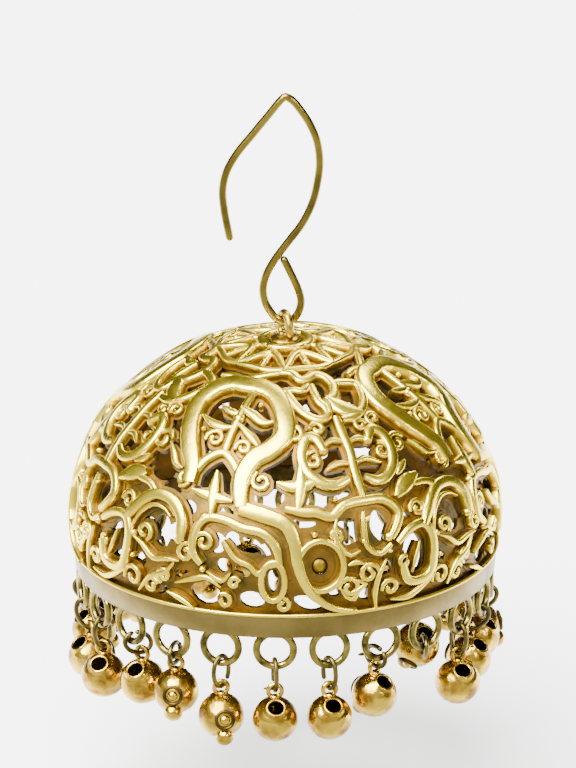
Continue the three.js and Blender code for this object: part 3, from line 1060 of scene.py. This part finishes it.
ring_gold = plated_gold(
    "ring_gold",
    bright=(0.16, 0.122, 0.028),
    dull=(0.05, 0.036, 0.009),
    patch=0.0012,
    gloss=0.26,
    matt=0.42,
    grain=0.0003,
    depth=0.00001,
)
for number, drop in enumerate(drops, 1):
    cut = math.radians(chance.uniform(20, 60)) * chance.choice((-1, 1))
    points = []
    turns = 44
    for step in range(turns + 1):
        turn = cut + GAP / 2 + (2 * math.pi - GAP) * step / turns
        points.append(Vector((0, RING_HALF_WIDTH * math.cos(turn), RING_HALF_HEIGHT * math.sin(turn))))
    ring_mesh = draw_wire(points, RING_WIRE / 2, 12, Vector((1, 0, 0)), 0.06)
    if drop["at"] in STRAY_ENDS:
        stray = [Vector((-x, 0.1 * x, -RING_HALF_HEIGHT + 0.05 + 0.1 * x)) for x in (0, 0.3, 0.6, 0.9)]
        join(ring_mesh, draw_wire(stray, 0.14, 10, Vector((0, 0, 1)), 0.1))
    leaning = Matrix.Rotation(math.radians(drop["lean"]), 4, "X")
    in_ring = leaning @ Matrix.Translation((0, 0, -RING_CENTRE_DROP))
    place = drop_place(drop["at"], drop["twist"], drop.get("caught", 0)) @ in_ring
    bmesh.ops.transform(ring_mesh, matrix=place, verts=ring_mesh.verts)
    ring = new_piece(f"oval_ring_{number:02d}", ring_mesh, ring_gold)
    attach(ring, "drop")
    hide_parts(f"jump_ring_{number:02d}")


# ---- Ball beads ----
# Hollow balls of thin sheet, plated orange gold and polished, each with a rolled mouth, a
# riveted stud opposite it, a nub of solder below that and a wire eyelet on top.

BALL_RADIUS = 1.85
BALL_WALL = 0.3
MOUTH_RADIUS = 0.72
MOUTH_RISE = math.radians(52)
LIP_RADIUS = 0.13
EYELET_RADIUS = 0.55
EYELET_WIRE = 0.4
EYELET_TO_BALL = 2.4
NUB_RADIUS = 0.75
NUB_RISE = math.radians(-42)
STUD_RISE = math.radians(8)
STUD_RADIUS = 0.72


def on_ball(rise, distance):
    """A place on the ball's back, at a rise above its middle, with Z pointing out of the ball."""
    out = Vector((0, math.cos(rise), math.sin(rise)))
    spot = out.to_track_quat("Z", "X").to_matrix().to_4x4()
    spot.translation = out * distance - Vector((0, 0, EYELET_TO_BALL))
    return spot


def ball_shell():
    """The hollow ball, turned about its mouth's axis, with the mouth's edge rolled."""
    outer_edge = math.acos((MOUTH_RADIUS + LIP_RADIUS) / BALL_RADIUS)
    inner = BALL_RADIUS - BALL_WALL
    inner_edge = math.acos((MOUTH_RADIUS + 0.05) / inner)
    rows = 18
    profile = []
    for row in range(rows + 1):
        turn = -math.pi / 2 + (outer_edge + math.pi / 2) * row / rows
        profile.append((max(BALL_RADIUS * math.cos(turn), 0.002), BALL_RADIUS * math.sin(turn)))
    lip_height = BALL_RADIUS * math.sin(outer_edge) + 0.02
    for step in range(1, 6):
        turn = math.pi * step / 6
        radius = MOUTH_RADIUS + LIP_RADIUS * math.cos(turn)
        profile.append((radius, lip_height + 0.8 * LIP_RADIUS * math.sin(turn)))
    for row in range(rows, -1, -2):
        turn = -math.pi / 2 + (inner_edge + math.pi / 2) * row / rows
        profile.append((max(inner * math.cos(turn), 0.002), inner * math.sin(turn)))
    shell = turned(profile, 40)
    mouth_way = Vector((0, -math.cos(MOUTH_RISE), math.sin(MOUTH_RISE)))
    tilt = mouth_way.to_track_quat("Z", "X").to_matrix().to_4x4()
    tilt.translation = (0, 0, -EYELET_TO_BALL)
    bmesh.ops.transform(shell, matrix=tilt, verts=shell.verts)
    middle_of_ball = Vector((0, 0, -EYELET_TO_BALL))
    # The inside of the ball takes the painted shade.
    for face in shell.faces:
        if (face.calc_center_median() - middle_of_ball).length < inner + 0.05:
            face.material_index = 1
    return shell


def ball_mesh():
    """One whole bead, hanging from its eyelet's centre with its mouth to the front."""
    bead = ball_shell()
    eyelet = round_ring(EYELET_RADIUS, EYELET_WIRE / 2, 28, 12)
    upright = Matrix.Rotation(math.pi / 2, 4, "X")
    bmesh.ops.transform(eyelet, matrix=upright, verts=eyelet.verts)
    join(bead, eyelet)
    root_size = Matrix.Diagonal((0.42, 0.42, 0.26, 1))
    root_place = Matrix.Translation((0, 0, BALL_RADIUS - EYELET_TO_BALL + 0.02))
    bmesh.ops.create_uvsphere(bead, u_segments=16, v_segments=8, radius=1, matrix=root_place @ root_size)
    nub_size = Matrix.Diagonal((NUB_RADIUS, NUB_RADIUS, NUB_RADIUS * 0.95, 1))
    nub_place = on_ball(NUB_RISE, BALL_RADIUS + NUB_RADIUS / 6)
    bmesh.ops.create_uvsphere(bead, u_segments=20, v_segments=12, radius=1, matrix=nub_place @ nub_size)
    stud_ring = round_ring(STUD_RADIUS, 0.15, 28, 10)
    stud_place = on_ball(STUD_RISE, BALL_RADIUS - 0.08)
    bmesh.ops.transform(stud_ring, matrix=stud_place, verts=stud_ring.verts)
    # The ring round the stud takes the painted shade.
    for face in stud_ring.faces:
        face.material_index = 1
    join(bead, stud_ring)
    stud_size = Matrix.Diagonal((0.42, 0.42, 0.34, 1))
    stud_place = stud_place @ stud_size
    bmesh.ops.create_uvsphere(bead, u_segments=16, v_segments=10, radius=1, matrix=stud_place)
    return bead


def eyelet_place(lean):
    """Where a bead's eyelet hangs in its ring: at the lowest spot of the leaning oval."""
    long_part = RING_HALF_HEIGHT * math.cos(lean)
    wide_part = RING_HALF_WIDTH * math.sin(lean)
    depth = math.hypot(long_part, wide_part)
    along = RING_HALF_HEIGHT * long_part * math.sin(lean) / depth
    across = RING_HALF_WIDTH * wide_part * math.cos(lean) / depth
    inward = RING_CENTRE_DROP * math.sin(lean) + along - across
    down = RING_CENTRE_DROP * math.cos(lean) + depth
    eyelet_drop = EYELET_RADIUS - (RING_WIRE + EYELET_WIRE) / 2 - CLEARANCE
    return Matrix.Translation((0, inward, -down - eyelet_drop))


ball_gold = plated_gold(
    "ball_gold",
    bright=(0.66, 0.44, 0.04),
    dull=(0.19, 0.088, 0.008),
    patch=0.0011,
    gloss=0.12,
    matt=0.34,
    grain=0.0011,
    depth=0.00012,
)
one_ball = ball_mesh()
for number, drop in enumerate(drops, 1):
    bead_mesh = one_ball.copy()
    turn = Matrix.Rotation(math.radians(drop["face"]), 4, "Z")
    hung = drop_place(drop["at"], drop["twist"], drop.get("caught", 0))
    place = hung @ eyelet_place(math.radians(drop["lean"])) @ turn
    bmesh.ops.transform(bead_mesh, matrix=place, verts=bead_mesh.verts)
    ball = new_piece(f"ball_bead_{number:02d}", bead_mesh, ball_gold)
    ball.data.materials.append(painted_inner_shade)
    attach(ball, "drop")
    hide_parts(f"bead_{number:02d}")
one_ball.free()


# ---- Floor, light and camera ----
# A plain pale floor, darker in front of the earring so that the metal has something to mirror,
# broad daylight from the upper left with three small soft lamps, and a long lens from above.

FLOOR_Z = cad_box[0].z - 0.012
floor_data = bpy.data.meshes.new("floor")
floor_mesh = bmesh.new()
bmesh.ops.create_grid(floor_mesh, x_segments=1, y_segments=1, size=3)
bmesh.ops.translate(floor_mesh, vec=(0, 0, FLOOR_Z), verts=floor_mesh.verts)
floor_mesh.to_mesh(floor_data)
floor_mesh.free()
floor = bpy.data.objects.new("floor", floor_data)
bpy.context.scene.collection.objects.link(floor)
paper = bpy.data.materials.new("pale_paper")
paper.use_nodes = True
paper_nodes = paper.node_tree.nodes
paper_link = paper.node_tree.links.new
paper_shader = paper_nodes["Principled BSDF"]
paper_shader.inputs["Roughness"].default_value = 0.9
paper_place = paper_nodes.new("ShaderNodeTexCoord")
paper_apart = paper_nodes.new("ShaderNodeSeparateXYZ")
paper_fade = paper_nodes.new("ShaderNodeMapRange")
paper_fade.interpolation_type = "SMOOTHSTEP"
paper_fade.inputs["From Min"].default_value = -0.03
paper_fade.inputs["From Max"].default_value = 0.01
paper_tone = paper_nodes.new("ShaderNodeValToRGB")
paper_tone.color_ramp.elements[0].color = (0.22, 0.22, 0.22, 1)
paper_tone.color_ramp.elements[1].color = (0.9, 0.9, 0.9, 1)
paper_link(paper_place.outputs["Object"], paper_apart.inputs["Vector"])
paper_link(paper_apart.outputs["Y"], paper_fade.inputs["Value"])
paper_link(paper_fade.outputs["Result"], paper_tone.inputs["Fac"])
paper_link(paper_tone.outputs["Color"], paper_shader.inputs["Base Color"])
paper_shader.inputs["Emission Color"].default_value = (1, 1, 1, 1)
paper_link(paper_fade.outputs["Result"], paper_shader.inputs["Emission Strength"])
floor_data.materials.append(paper)

world = bpy.data.worlds.new("soft_room")
bpy.context.scene.world = world
world.use_nodes = True
world_nodes = world.node_tree.nodes
world_link = world.node_tree.links.new
sky_place = world_nodes.new("ShaderNodeTexCoord")
sky_side = world_nodes.new("ShaderNodeVectorMath")
sky_side.operation = "DOT_PRODUCT"
sky_side.inputs[1].default_value = (-0.25, -0.85, 0.46)
sky_tone = world_nodes.new("ShaderNodeValToRGB")
world_link(sky_place.outputs["Generated"], sky_side.inputs[0])
world_link(sky_side.outputs["Value"], sky_tone.inputs["Fac"])
world_link(sky_tone.outputs["Color"], world_nodes["Background"].inputs["Color"])
sky_tone.color_ramp.elements[0].position = 0.05
sky_tone.color_ramp.elements[0].color = (0.09, 0.09, 0.09, 1)
sky_tone.color_ramp.elements[1].position = 0.85
sky_tone.color_ramp.elements[1].color = (1, 1, 1, 1)
world_nodes["Background"].inputs["Strength"].default_value = 0.9

middle = (cad_box[0] + cad_box[1]) / 2


def way_to(azimuth, elevation):
    """The direction from the earring to a lamp, by its side and its height in degrees."""
    turn = math.radians(azimuth)
    rise = math.radians(elevation)
    return Vector((math.sin(turn) * math.cos(rise), -math.cos(turn) * math.cos(rise), math.sin(rise)))


def place_light(light, azimuth, elevation, distance):
    """Sets a light at a side and a height, facing the earring."""
    lamp = bpy.data.objects.new(light.name, light)
    way = way_to(azimuth, elevation)
    lamp.location = middle + way * distance
    lamp.rotation_euler = (-way).to_track_quat("-Z", "Y").to_euler()
    bpy.context.scene.collection.objects.link(lamp)


def soft_lamp(name, azimuth, elevation, distance, size, power):
    """A square soft lamp near the earring."""
    light = bpy.data.lights.new(name, "AREA")
    light.size = size
    light.energy = power
    place_light(light, azimuth, elevation, distance)


daylight = bpy.data.lights.new("daylight", "SUN")
daylight.energy = 18
daylight.angle = math.radians(55)
place_light(daylight, azimuth=-35, elevation=58, distance=1)
soft_lamp("key_lamp", azimuth=-42, elevation=30, distance=0.35, size=0.06, power=0.9)
soft_lamp("fill_lamp", azimuth=48, elevation=26, distance=0.35, size=0.05, power=0.5)
soft_lamp("back_lamp", azimuth=160, elevation=50, distance=0.4, size=0.15, power=1.2)

CAMERA_RISE = math.radians(20)
CAMERA_DISTANCE = 0.6
camera_data = bpy.data.cameras.new("camera")
camera_data.lens = 345
camera_data.sensor_width = 36
camera = bpy.data.objects.new("camera", camera_data)
camera_way = Vector((0, -math.cos(CAMERA_RISE), math.sin(CAMERA_RISE)))
camera.location = middle + camera_way * CAMERA_DISTANCE
camera.rotation_euler = (-camera_way).to_track_quat("-Z", "Y").to_euler()
bpy.context.scene.collection.objects.link(camera)
bpy.context.scene.camera = camera
